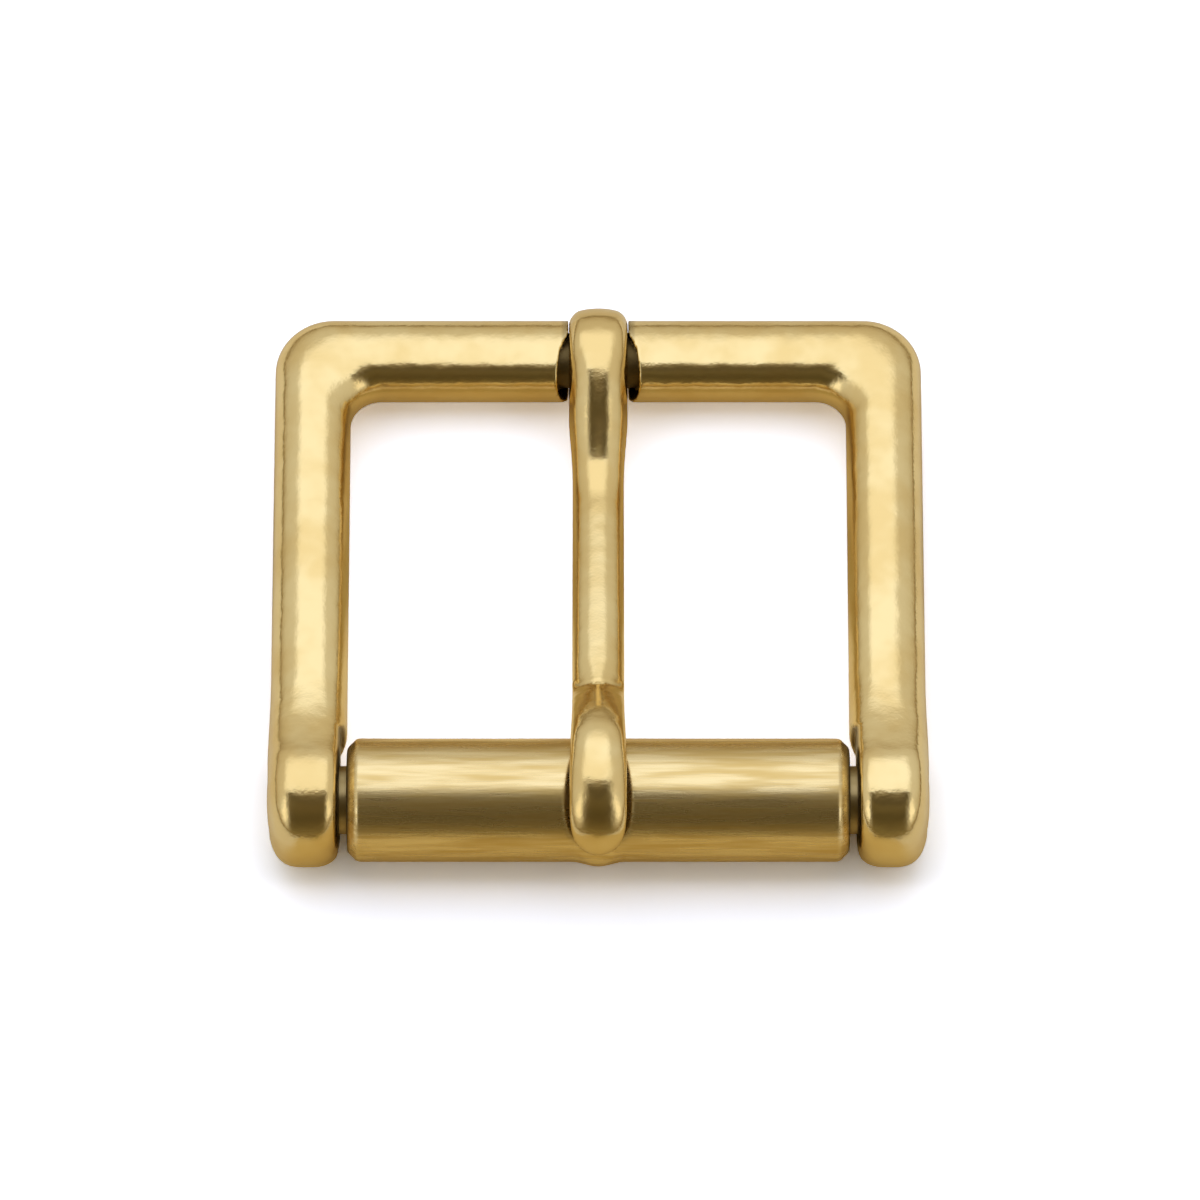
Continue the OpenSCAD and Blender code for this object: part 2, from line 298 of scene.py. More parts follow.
# Angle of the top from straight above the roller, its height over the band as a share of
# the tip's thickness, the same two for the underside, breadth from shaft 0 to tip 1,
# squareness, and how far a narrower crown stands up from the section
BEAK_ROWS = [
    (-77.0, 3.85, -84.2, 2.66, 0.00, 2.1, 0.30),
    (-72.5, 3.20, -82.9, 1.71, 0.00, 2.1, 0.30),
    (-68.5, 2.80, -78.5, 1.45, 0.02, 2.1, 0.30),
    (-64.5, 2.54, -75.8, 1.31, 0.05, 2.1, 0.28),
    (-55.3, 2.03, -62.0, 0.70, 0.10, 2.1, 0.22),
    (-48.0, 1.80, -53.9, 0.37, 0.20, 2.1, 0.13),
    (-40.5, 1.615, -45.6, 0.163, 0.40, 2.1, 0.06),
    (-29.4, 1.449, -32.0, 0.01, 0.65, 2.1, 0.01),
    (-19.1, 1.296, -21.7, 0, 0.80, 2.05, 0),
    (-6.3, 1.126, -6.5, 0, 0.95, 2.0, 0),
    (2.5, 1.03, 2.5, 0, 1.0, 1.95, 0),
    (12.1, 0.95, 12.1, 0, 1, 1.9, 0),
]

# Share of the way to the tip's end, and thickness and breadth as shares of the tip's own
TIP_ROWS = [
    (0.28, 0.89, 1),
    (0.40, 0.85, 1),
    (0.53, 0.78, 0.99),
    (0.66, 0.69, 0.95),
    (0.77, 0.60, 0.87),
    (0.86, 0.52, 0.75),
    (0.925, 0.45, 0.60),
    (0.97, 0.37, 0.42),
    (1.0, 0.22, 0.20),
]


def shaft_rows():
    """Along Y: the place, the top's height, the thickness, half the width and the squareness."""
    for along, top, thick, broad, square in SHAFT_ROWS:
        yield REACH * (1 - along), HUB_R * top, SHAFT_T * thick, blend(SHAFT_W, HUB_W, broad) / 2, square


def beak_rows():
    """From the bend to the tip's end: the top's and the underside's place, the width, how far
    up the section is widest, its squareness and its crown."""
    for deg, high, under_deg, under_high, broad, square, crown in BEAK_ROWS:
        top = about_roller(deg, TIP_IN_R + TIP_T * high)
        under = about_roller(under_deg, TIP_IN_R + TIP_T * under_high)
        belly = blend(0.5, TIP_BELLY, float(ease((deg + 60) / 60)))
        yield top, under, blend(SHAFT_W, TIP_W, broad), belly, square, crown
    for share, thick, broad in TIP_ROWS:
        deg = TIP_END_DEG * share
        top = about_roller(deg, TIP_IN_R + TIP_T * thick)
        yield top, about_roller(deg, TIP_IN_R), TIP_W * broad, TIP_BELLY, TIP_SQUARE, 0


def spline(rows, step):
    """Points at an even step along a smooth curve through rows of numbers, by their first two."""
    rows = np.asarray(rows, float)
    padded = np.vstack([2 * rows[0] - rows[1], rows, 2 * rows[-1] - rows[-2]])
    out = []
    for i in range(1, len(padded) - 2):
        a, b, c, d = padded[i - 1 : i + 3]
        t = np.linspace(0, 1, 24, endpoint=False)[:, None]
        span = np.linalg.norm((c - b)[:2])
        m0 = (c - a) * span / (span + np.linalg.norm((b - a)[:2]))
        m1 = (d - b) * span / (span + np.linalg.norm((d - c)[:2]))
        out.append(
            (2 * t**3 - 3 * t**2 + 1) * b
            + (t**3 - 2 * t**2 + t) * m0
            + (3 * t**2 - 2 * t**3) * c
            + (t**3 - t**2) * m1
        )
    fine = np.vstack(out + [rows[-1:]])
    along = np.concatenate([[0], np.cumsum(np.linalg.norm(np.diff(fine[:, :2], axis=0), axis=1))])
    s = np.linspace(0, along[-1], int(along[-1] / step) + 2)
    return s, np.stack([np.interp(s, along, fine[:, k]) for k in range(fine.shape[1])], 1)


# Steps along the tongue, how often they are softened, and how far each end is rounded
BEAM_STEP = 0.02
BEAM_ROUNDS = 200
BEAM_END_R = 0.7
SWEEP_STEP = 0.1
SWEEP_ROUNDS = 3
SWEEP_END_R = 0.3


def soften(values, rounds):
    """Each value becomes more like the two beside it. The ends stay."""
    for _ in range(rounds):
        inner = (values[:-2] + 2 * values[1:-1] + values[2:]) / 4
        values = np.vstack([values[:1], inner, values[-1:]])
    return values


class Beam:
    """A bar along Y, whose top, thickness, half width and squareness change on its way."""

    def __init__(self, rows):
        _, table = spline(list(rows), BEAM_STEP)
        table = soften(table, BEAM_ROUNDS)[::-1]
        self.y = table[:, 0]
        pitch = np.gradient(table[:, 1] - table[:, 2] / 2, self.y)
        self.columns = [*table[:, 1:].T, np.cos(np.arctan(pitch))]

    def field(self, p):
        x, y, z = p.T
        within = np.clip(y, self.y[0], self.y[-1])
        top, thick, half, square, lean = (np.interp(within, self.y, c) for c in self.columns)
        n = super_norm(x / half, 2 * (z - top) / thick + 1, square)
        return (np.hypot(n, (y - within) / BEAM_END_R) - 1) * np.minimum(half, thick / 2) * lean


class Sweep:
    """A bar along a curve in the YZ plane, whose section changes on its way."""

    def __init__(self, rows):
        rows = list(rows)
        middle = [
            [*(under + (top - under) * belly), *top, *under, width / 2, square, crown]
            for top, under, width, belly, square, crown in rows
        ]
        self.s, table = spline(middle, SWEEP_STEP)
        self.mid = table[:, :2]
        run = np.gradient(self.mid, axis=0)
        run = soften(run / np.linalg.norm(run, axis=1)[:, None], SWEEP_ROUNDS)
        self.run = run / np.linalg.norm(run, axis=1)[:, None]
        self.up = np.stack([self.run[:, 1], -self.run[:, 0]], 1)
        if self.up[len(self.up) // 2, 1] < 0:
            self.up = -self.up
        top = ((table[:, 2:4] - self.mid) * self.up).sum(1)
        under = ((self.mid - table[:, 4:6]) * self.up).sum(1)
        self.top = soften(top[:, None], SWEEP_ROUNDS)[:, 0]
        self.under = soften(under[:, None], SWEEP_ROUNDS)[:, 0]
        self.half = table[:, 6]
        self.square = table[:, 7]
        self.crown = np.clip(table[:, 8], 0, 1)

    def at(self, values, s):
        if values.ndim == 1:
            return np.interp(s, self.s, values)
        return np.stack([np.interp(s, self.s, values[:, k]) for k in range(2)], 1)

    def field(self, p):
        x, q = np.abs(p[:, 0]), p[:, 1:]
        coarse = slice(None, None, 6)
        gap = ((q[:, None, :] - self.mid[coarse][None]) ** 2).sum(2)
        s = self.s[coarse][gap.argmin(1)]
        for _ in range(4):
            s = s + ((q - self.at(self.mid, s)) * self.at(self.run, s)).sum(1)
            s = np.clip(s, 0, self.s[-1])
        away = q - self.at(self.mid, s)
        v = (away * self.at(self.up, s)).sum(1)
        past = np.abs((away * self.at(self.run, s)).sum(1))
        top, under, half = self.at(self.top, s), self.at(self.under, s), self.at(self.half, s)
        square, crown = self.at(self.square, s), self.at(self.crown, s)
        size = np.minimum(half, (top + under) / 2)
        skirt = super_norm(x / half, v / np.where(v > 0, top * (1 - crown), under), square)
        ridge = super_norm(x / (half * (1 - crown)), v / np.where(v > 0, top, under), square)
        skirt, ridge = ((np.hypot(n, past / SWEEP_END_R) - 1) * size for n in (skirt, ridge))
        return fuse(skirt, ridge, 0.02 + 1.5 * crown)


shaft = Beam(shaft_rows())
beak = Sweep(beak_rows())


def tongue_field(p):
    """The whole tongue: hub, shaft and beak, with the bore that turns on the frame's neck."""
    x, z = np.abs(p[:, 0]), p[:, 2]
    from_bar = np.hypot(p[:, 1] - REACH, z)
    hub = crowned_disc(x, from_bar, HUB_W / 2 + HUB_PROUD, HUB_R, HUB_CROWN_R, HUB_EDGE_R)
    f = fuse(hub, shaft.field(p), blend(*HUB_FILLET, ease((z + 1) / 2)))
    f = fuse(f, beak.field(p), blend(*BEND_FILLET, ease((x - 0.9) / 0.9)))
    return cut(f, from_bar - NECK_R - NECK_CLEAR, RING_EDGE)


# Meshes
def slope(field, p, step=0.004):
    """How fast a field grows at each point, along X, Y and Z."""
    g = np.empty_like(p)
    for k in range(3):
        d = np.zeros(3)
        d[k] = step
        g[:, k] = (field(p + d) - field(p - d)) / (2 * step)
    return g


def settle(p, field, rounds, longest=0.25):
    """Each point moves along its field's slope, by short steps, until it lies on the surface."""
    for _ in range(rounds):
        g = slope(field, p)
        move = g * (field(p) / np.maximum((g * g).sum(1), 0.05))[:, None]
        far = np.linalg.norm(move, axis=1)
        p = p - move * np.minimum(1, longest / np.maximum(far, 1e-9))[:, None]
    return p


def neighbour_mean(values, edges, count):
    """For each point, the mean of the values at the points that edges join to it."""
    total = np.zeros_like(values)
    np.add.at(total, edges[:, 0], values[edges[:, 1]])
    np.add.at(total, edges[:, 1], values[edges[:, 0]])
    return total / count[:, None]


def grid_over(node, voxel):
    """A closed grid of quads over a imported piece, in the buckle's own plane."""
    rough = bpy.data.objects.new("rough", frame["nodes"][node].data.copy())
    bpy.context.scene.collection.objects.link(rough)
    rough.data.transform(LAID.inverted())
    bm = bmesh.new()
    bm.from_mesh(rough.data)
    bmesh.ops.remove_doubles(bm, verts=bm.verts, dist=0.0005)
    bm.to_mesh(rough.data)
    bm.free()
    grid = rough.modifiers.new("grid", "REMESH")
    grid.mode = "VOXEL"
    grid.voxel_size = voxel
    done = rough.evaluated_get(bpy.context.evaluated_depsgraph_get()).to_mesh()
    points = np.array([v.co for v in done.vertices])
    faces = [tuple(f.vertices) for f in done.polygons]
    edges = np.array([e.vertices for e in done.edges])
    bpy.data.objects.remove(rough)
    return points, faces, edges


# Bend per millimetre where wear and dirt begin, and over how much more of it they grow
PROUD_FROM, PROUD_OVER = 0.45, 1.2
HOLLOW_FROM, HOLLOW_OVER = 0.12, 0.9
HOLLOW_DIRT = 0.3


def mark_curves(mesh, points, normals, edges, darkening):
    """Stores where a surface is sharply proud, and where it is hollow or darker, with dirt in hollows and
    the painted shade or darkening that the given function adds.
    """
    d = points[edges[:, 0]] - points[edges[:, 1]]
    length2 = np.maximum((d * d).sum(1), 1e-9)
    bend = np.zeros(len(points))
    count = np.zeros(len(points))
    for end, sign in ((0, 1), (1, -1)):
        np.add.at(bend, edges[:, end], sign * (d * normals[edges[:, end]]).sum(1) / length2)
        np.add.at(count, edges[:, end], 1)
    bend = (2 * bend / count)[:, None]
    for _ in range(4):
        bend = (bend + neighbour_mean(bend, edges, count)) / 2
    proud = ease((bend[:, 0] - PROUD_FROM) / PROUD_OVER)
    hollow = HOLLOW_DIRT * ease((-bend[:, 0] - HOLLOW_FROM) / HOLLOW_OVER)
    # Painted shade and darkening from the given function join the dirt in hollows.
    hollow = np.maximum(hollow, darkening(points))
    for name, values in (("proud", proud), ("hollow", hollow)):
        layer = mesh.attributes.new(name, "FLOAT", "POINT")
        layer.data.foreach_set("value", values.astype(np.float32))


def make_piece(name, points, faces, darkening, normals=None):
    """A smooth object from points in the buckle's own plane, laid down on the table."""
    mesh = bpy.data.meshes.new(name)
    mesh.from_pydata(points.tolist(), [], faces)
    mesh.polygons.foreach_set("use_smooth", [True] * len(mesh.polygons))
    if normals is not None:
        mesh.normals_split_custom_set_from_vertices(normals.tolist())
    else:
        normals = np.array([v.normal for v in mesh.vertices])
    edges = np.array([e.vertices for e in mesh.edges])
    mark_curves(mesh, points, normals, edges, darkening)
    mesh.transform(LAID)
    piece = bpy.data.objects.new(name, mesh)
    bpy.context.scene.collection.objects.link(piece)
    return piece


def casting(name, node, field, voxel, darkening):
    """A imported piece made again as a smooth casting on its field."""
    points, faces, edges = grid_over(node, voxel)
    count = np.bincount(edges.ravel(), minlength=len(points)).astype(float)
    points = settle(points, field, 4)
    for _ in range(3):
        points = (points + neighbour_mean(points, edges, count)) / 2
        points = settle(points, field, 2)
    normals = slope(field, points)
    normals /= np.maximum(np.linalg.norm(normals, axis=1), 1e-9)[:, None]
    return make_piece(name, points, faces, darkening, normals)


def within(gap, reach, fade):
    """1 where a gap is well under a reach, and 0 beyond it."""
    return ease((reach - gap) / fade)


def frame_shade_and_dirt(p):
    """Painted shade, with some dirt, in the hollow and slot beside the hub; painted shade on the neck and on
    the ears' inner faces by the roller.
    """
    x, y, z = np.abs(p[:, 0]), p[:, 1], p[:, 2]
    from_bar, from_pin = np.hypot(y - REACH, z), np.hypot(y, z)
    in_recess = within(np.abs(recess_field(x, y, z)), 0.12, 0.1)
    in_recess = in_recess * within(x, HUB_W / 2 + RECESS_W + 0.15, 0.25)
    in_slot = within(x, HUB_W / 2 + 0.55, 0.1) * (from_bar < SLOT_R)
    on_neck = within(from_bar, NECK_R + 0.2, 0.15) * (x < NECK_END_X)
    # Painted shade where the ears' inner faces look onto the roller's ends.
    by_roller = within(x, EAR_GAP / 2 + 0.25, 0.3) * within(from_pin, ROLLER_R + FACE_ROOM + 0.3, 0.5)
    # Painted shade, with some dirt, in the hollow and slot beside the hub.
    by_hub = SLOT_SHADE_AND_DIRT * np.maximum(in_recess, in_slot)
    return np.maximum(np.maximum(by_hub, on_neck), by_roller)


def tongue_tip_shadow(p):
    """Painted shadow on the tip's underside, which shows as a dark line round the tip where it lies in the
    roller's seat.
    """
    from_axle = np.hypot(p[:, 1], p[:, 2])
    return TIP_SHADOW * within(from_axle, TIP_IN_R + 0.28, 0.16) * (p[:, 1] < 4)


def roller_painted_shade(p):
    """Painted shade on the roller's end faces and at the ends of its bore, beside the ears, and in the
    tongue's seat.
    """
    x, r = np.abs(p[:, 0]), np.hypot(p[:, 1], p[:, 2])
    ends = 1 - within(x, ROLLER_L / 2, 0.3)
    seat = within(r, ROLLER_R - 0.05, 0.3) * within(x, 3.2, 0.3)
    return np.maximum(ROLLER_END_SHADE * ends, SEAT_SHADE * seat)


def pin_darkening(p):
    """Darker all along the pin but at its ends."""
    return PIN_DARKENING * within(np.abs(p[:, 0]), EAR_OUT_X - 1, 0.5)


def rounded(profile, r, steps=4):
    """An outline of (x, radius) points with its corners rounded, and a guard point by each."""
    profile = [np.array(q, float) for q in profile]
    out = [profile[0]]
    for before, corner, after in zip(profile, profile[1:], profile[2:]):
        a = (before - corner) / np.linalg.norm(before - corner)
        b = (after - corner) / np.linalg.norm(after - corner)
        start, end = corner + a * r, corner + b * r
        out.append(corner + a * 1.8 * r)
        for i in range(steps + 1):
            t = i / steps
            out.append((1 - t) ** 2 * start + 2 * t * (1 - t) * corner + t * t * end)
        out.append(corner + b * 1.8 * r)
    out.append(profile[-1])
    return out


def lathe(name, outline, sides, darkening, shape=None):
    """A turned piece about X. shape gives the radius at each point, where it isn't round."""
    outline = np.array(outline)
    turn = np.arange(sides) * 2 * math.pi / sides
    x = np.repeat(outline[:, :1], sides, 1)
    r = np.repeat(outline[:, 1:], sides, 1)
    if shape is not None:
        r = shape(x, r, turn[None])
    points = np.stack([x, -r * np.sin(turn), r * np.cos(turn)], 2).reshape(-1, 3)
    count = len(outline)
    i, j = np.meshgrid(np.arange(count - 1), np.arange(sides), indexing="ij")
    k = (j + 1) % sides
    faces = np.stack([i * sides + j, i * sides + k, (i + 1) * sides + k, (i + 1) * sides + j], 2)
    faces = [tuple(f) for f in faces.reshape(-1, 4).tolist()]
    if np.allclose(outline[0], outline[-1]):
        points = points[:-sides]
        faces = [tuple(v % len(points) for v in f) for f in faces]
    else:
        faces.append(tuple(reversed(range(sides))))
        faces.append(tuple(range(len(points) - sides, len(points))))
    return make_piece(name, points, faces, darkening)


def roller_shape(x, r, turn):
    """The rounded band round the roller's middle, with the tongue's seat sunk into it."""
    wave = 0.5 + 0.5 * np.cos(2 * math.pi * x / BAND_W)
    outer = r > ROLLER_R - 0.001
    band = r + np.where(outer & (np.abs(x) < BAND_W / 2), BAND_H * wave, 0)

    # The seat is the inside of a ring whose middle lies behind the roller's axis
    tube_r = ((SEAT_W / 2) ** 2 + SEAT_DEPTH**2) / (2 * SEAT_DEPTH)
    ring_r = ROLLER_R - SEAT_DEPTH + SEAT_BACK + tube_r
    away = turn - math.radians(SEAT_DEG)
    inside = ring_r - np.sqrt(np.maximum(tube_r**2 - x * x, 0.0001))
    root = np.maximum(inside**2 - (SEAT_BACK * np.sin(away)) ** 2, 0)
    seat = np.sqrt(root) - SEAT_BACK * np.cos(away)
    seated = (np.cos(away) > 0) & (np.abs(x) < tube_r * 0.98)
    return np.where(outer, fuse(band, np.where(seated, seat, 2 * ring_r), SEAT_EDGE), band)


def turned_roller():
    """The roller: chamfered ends, a finely stepped middle for its band, and a plain bore."""
    half, bore = ROLLER_L / 2, PIN_R + ROLLER_CLEAR
    slope_x, end_r = half - ROLLER_CHAMFER, ROLLER_R - ROLLER_CHAMFER
    end = [(-half, bore + 0.4), (-half, end_r), (-slope_x, ROLLER_R), (-4, ROLLER_R)]
    left = rounded(end, CHAMFER_EDGE)
    middle = [np.array([x, ROLLER_R]) for x in np.linspace(-3.4, 3.4, 92)]
    mouth = rounded([(half, end_r), (half, bore), (0, bore)], MOUTH_EDGE)
    outside = left + middle + [np.array([-q[0], q[1]]) for q in reversed(left[2:])]
    inside = mouth[2:] + [np.array([-q[0], q[1]]) for q in reversed(mouth[2:-1])]
    outline = outside + inside + outside[:1]
    return lathe("roller_turned", outline, 256, roller_painted_shade, roller_shape)


def turned_pin():
    """The pin, with a low dome at each end."""
    half = EAR_OUT_X + PIN_PROUD
    dome = [(half - DOME_H * (1 - math.cos(a)), PIN_R * math.sin(a)) for a in np.linspace(0.12, 1.2, 9)]
    dome += [(half - DOME_H, PIN_R * 0.975), (half - 1.4 * DOME_H, PIN_R)]
    dome += [(half - 2 * DOME_H, PIN_R), (EAR_GAP / 2 - 1, PIN_R)]
    outline = [(-x, r) for x, r in dome] + list(reversed(dome))
    return lathe("pin_turned", outline, 96, pin_darkening)


# Finishes
def link(tree, source, target):
    tree.links.new(source, target)


def feed(tree, value, socket):
    """Gives a socket a number, a colour, or what another socket puts out."""
    if isinstance(value, tuple):
        socket.default_value = (*value, 1)
    elif isinstance(value, (int, float)):
        socket.default_value = value
    else:
        link(tree, value, socket)


def node(tree, kind, **settings):
    """A new node, with numbers for its inputs and values for its other settings."""
    made = tree.nodes.new(kind)
    for key, value in settings.items():
        if key in made.inputs:
            made.inputs[key].default_value = value
        else:
            setattr(made, key, value)
    return made


def group_node(tree, group, **settings):
    return node(tree, "ShaderNodeGroup", node_tree=group, **settings)


def new_group(name, inputs, outputs):
    """A shader node group, its input node and its output node."""
    tree = bpy.data.node_groups.new(name, "ShaderNodeTree")
    for label, kind, value in inputs:
        socket = tree.interface.new_socket(label, in_out="INPUT", socket_type=kind)
        if value is not None:
            socket.default_value = value
    for label, kind in outputs:
        tree.interface.new_socket(label, in_out="OUTPUT", socket_type=kind)
    return tree, tree.nodes.new("NodeGroupInput"), tree.nodes.new("NodeGroupOutput")


def maths(tree, operation, a, b=None):
    made = node(tree, "ShaderNodeMath", operation=operation)
    feed(tree, a, made.inputs[0])
    if b is not None:
        feed(tree, b, made.inputs[1])
    return made.outputs[0]


def ramp(tree, value, low, high, to_low=0.0, to_high=1.0, smooth=True):
    """A value that goes from to_low to to_high as the one given goes from low to high."""
    made = node(tree, "ShaderNodeMapRange", interpolation_type="SMOOTHSTEP" if smooth else "LINEAR")
    for key, number in (("From Min", low), ("From Max", high), ("To Min", to_low), ("To Max", to_high)):
        made.inputs[key].default_value = number
    link(tree, value, made.inputs["Value"])
    return made.outputs[0]


def noise(tree, vector, scale, detail=2.0, roughness=0.5):
    """Cloudy noise, with about scale lumps to a unit of the vector."""
    made = node(tree, "ShaderNodeTexNoise", Scale=1.0, Detail=detail, Roughness=roughness)
    sized = node(tree, "ShaderNodeVectorMath", operation="SCALE")
    link(tree, vector, sized.inputs[0])
    feed(tree, scale, sized.inputs["Scale"])
    link(tree, sized.outputs[0], made.inputs["Vector"])
    return made.outputs["Fac"]


def mixed(tree, factor, a, b):
    """Colour a where the factor is 0 and b where it is 1. Each is a socket or a colour."""
    made = node(tree, "ShaderNodeMix", data_type="RGBA")
    link(tree, factor, made.inputs["Factor"])
    feed(tree, a, made.inputs["A"])
    feed(tree, b, made.inputs["B"])
    return made.outputs["Result"]


def split(tree, vector):
    """The X, Y and Z of a vector."""
    parts = node(tree, "ShaderNodeSeparateXYZ")
    link(tree, vector, parts.inputs[0])
    return parts.outputs


def tumbling_group():
    """Soft dimples and fine speckle that tumbling leaves on a polished casting."""
    tree, given, out = new_group(
        "tumbled_face",
        [
            ("Place", "NodeSocketVector", None),
            ("Dimple", "NodeSocketFloat", 0.9),
            ("Speckle", "NodeSocketFloat", 4.0),
        ],
        [("Height", "NodeSocketFloat"), ("Cloud", "NodeSocketFloat")],
    )
    place = given.outputs["Place"]
    dimples = noise(tree, place, given.outputs["Dimple"], 1.0)
    speckle = noise(tree, place, given.outputs["Speckle"], 2.0, 0.6)
    height = maths(tree, "ADD", dimples, maths(tree, "MULTIPLY", speckle, 0.2))
    link(tree, height, out.inputs["Height"])
    link(tree, ramp(tree, noise(tree, place, 0.16, 3.0, 0.6), 0.35, 0.65), out.inputs["Cloud"])
    return tree


def lines_group():
    """Fine lines along X, as a lathe tool and a polishing belt leave on a tube."""
    tree, given, out = new_group(
        "drawn_lines",
        [
            ("Place", "NodeSocketVector", None),
            ("Length", "NodeSocketFloat", 0.22),
            ("Fineness", "NodeSocketFloat", 5.0),
        ],
        [("Height", "NodeSocketFloat"), ("Streak", "NodeSocketFloat")],
    )
    joined = node(tree, "ShaderNodeCombineXYZ")
    axes = split(tree, given.outputs["Place"])
    for axis, size, socket in zip(axes, ("Length", "Fineness", "Fineness"), joined.inputs):
        link(tree, maths(tree, "MULTIPLY", axis, given.outputs[size]), socket)
    fine = noise(tree, joined.outputs[0], 1.0, 3.0, 0.65)
    broad = noise(tree, joined.outputs[0], 0.3, 2.0, 0.5)
    link(tree, maths(tree, "ADD", fine, maths(tree, "MULTIPLY", broad, 0.8)), out.inputs["Height"])
    link(tree, ramp(tree, broad, 0.3, 0.7), out.inputs["Streak"])
    return tree


def tarnish_and_shade_group():
    """Colour of the brass: clouds of tint, darker with dirt in hollows and with painted shade, and paler on
    worn edges.
    """
    tree, given, out = new_group(
        "brass_tarnish_and_shade",
        [
            ("Fresh", "NodeSocketColor", (0.87, 0.70, 0.37, 1)),
            ("Aged", "NodeSocketColor", (0.80, 0.60, 0.26, 1)),
            ("Hollow tint", "NodeSocketColor", (0.085, 0.055, 0.018, 1)),
            ("Cloud", "NodeSocketFloat", 0.5),
        ],
        [("Color", "NodeSocketColor"), ("Hollow", "NodeSocketFloat")],
    )
    proud = node(tree, "ShaderNodeAttribute", attribute_name="proud").outputs["Fac"]
    hollow = node(tree, "ShaderNodeAttribute", attribute_name="hollow").outputs["Fac"]
    fresh = given.outputs["Fresh"]
    aged = mixed(tree, given.outputs["Cloud"], fresh, given.outputs["Aged"])
    worn = mixed(tree, proud, aged, fresh)
    # Dirt and painted shade draw the colour towards the dark hollow tint.
    dark = mixed(tree, maths(tree, "MULTIPLY", hollow, DIRT_AND_SHADE_COVER), worn, given.outputs["Hollow tint"])
    link(tree, dark, out.inputs["Color"])
    link(tree, hollow, out.inputs["Hollow"])
    return tree


tumbled = tumbling_group()
lines = lines_group()
tarnish_and_shade = tarnish_and_shade_group()


def brass(name, fresh, aged, rough, marks, marks_out, bump, **marks_sizes):
    """A brass finish. marks is the surface pattern's group, and bump its depth in millimetres."""
    material = bpy.data.materials.new(name)
    material.use_nodes = True
    tree = material.node_tree
    shader = tree.nodes["Principled BSDF"]
    shader.inputs["Metallic"].default_value = 1.0
    millimetres = node(tree, "ShaderNodeVectorMath", operation="SCALE", Scale=1000.0)
    link(tree, node(tree, "ShaderNodeTexCoord").outputs["Object"], millimetres.inputs[0])

    pattern = group_node(tree, marks, **marks_sizes)
    link(tree, millimetres.outputs[0], pattern.inputs["Place"])
    colour = group_node(tree, tarnish_and_shade, Fresh=(*fresh, 1), Aged=(*aged, 1))
    link(tree, pattern.outputs[marks_out], colour.inputs["Cloud"])
    link(tree, colour.outputs["Color"], shader.inputs["Base Color"])

    dull = ramp(tree, pattern.outputs[marks_out], 0, 1, *rough)
    dull = maths(tree, "ADD", dull, maths(tree, "MULTIPLY", colour.outputs["Hollow"], DIRT_AND_SHADE_ROUGH))
    link(tree, dull, shader.inputs["Roughness"])
    bumps = node(tree, "ShaderNodeBump", Strength=1.0, Distance=bump * 0.001)
    link(tree, pattern.outputs["Height"], bumps.inputs["Height"])
    link(tree, bumps.outputs["Normal"], shader.inputs["Normal"])
    return material


# Colours of the brass, fresh and aged
FRESH = (0.87, 0.71, 0.38)
AGED = (0.80, 0.61, 0.28)
ROLLER_FRESH = (0.87, 0.72, 0.41)
ROLLER_AGED = (0.69, 0.51, 0.21)
PIN_FRESH = (0.84, 0.66, 0.34)

frame_brass = brass(
    "cast_brass", FRESH, AGED, (0.13, 0.19), tumbled, "Cloud", bump=0.065, Dimple=0.55, Speckle=3.5
)
tongue_brass = brass(
    "tongue_brass", FRESH, AGED, (0.11, 0.17), tumbled, "Cloud", bump=0.04, Dimple=0.7, Speckle=4.5
)
roller_brass = brass(
    "drawn_brass", ROLLER_FRESH, ROLLER_AGED, (0.24, 0.33), lines, "Streak", bump=0.008, Length=0.45
)
pin_brass = brass(
    "pin_brass", PIN_FRESH, AGED, (0.20, 0.28), lines, "Streak", bump=0.006, Fineness=3.0
)

frame_piece = casting("frame_cast", "frame", frame_field, FRAME_GRID, frame_shade_and_dirt)
tongue_piece = casting("tongue_cast", "tongue", tongue_field, TONGUE_GRID, tongue_tip_shadow)
roller_piece = turned_roller()
pin_piece = turned_pin()

for piece, body, slot, finish in (
    (frame_piece, "frame", "frame", frame_brass),
    (pin_piece, "frame", "pin", pin_brass),
    (roller_piece, "roller", "roller", roller_brass),
    (tongue_piece, "tongue", "tongue", tongue_brass),
):
    piece.data.materials.append(finish)
    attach(piece, body)
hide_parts("frame")
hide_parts("roller_pin")
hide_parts("roller")
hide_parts("tongue")
for cad_node in frame["nodes"].values():
    cad_node.data.materials.clear()
    cad_node.data.materials.append(frame_brass)


# The studio: a pale table under a small light tent
def plain_material(name):
    """A material that has only its output node yet."""
    material = bpy.data.materials.new(name)
    material.use_nodes = True
    material.node_tree.nodes.remove(material.node_tree.nodes["Principled BSDF"])
    return material


def show(material, shader):
    link(material.node_tree, shader, material.node_tree.nodes["Material Output"].inputs["Surface"])


def placed(name, bm, material):
    """An object in the scene from a bmesh, which is used up."""
    mesh = bpy.data.meshes.new(name)
    bm.to_mesh(mesh)
    bm.free()
    mesh.materials.append(material)
    made = bpy.data.objects.new(name, mesh)
    bpy.context.scene.collection.objects.link(made)
    return made


def emission(tree, colour, strength=1.0):
    made = node(tree, "ShaderNodeEmission")
    feed(tree, colour, made.inputs["Color"])
    feed(tree, strength, made.inputs["Strength"])
    return made.outputs[0]


def diffuse(tree, colour):
    made = node(tree, "ShaderNodeBsdfDiffuse")
    link(tree, colour, made.inputs["Color"])
    return made.outputs[0]


def both(tree, a, b):
    """The light of two shaders together."""
    made = node(tree, "ShaderNodeAddShader")
    link(tree, a, made.inputs[0])
    link(tree, b, made.inputs[1])
    return made.outputs[0]


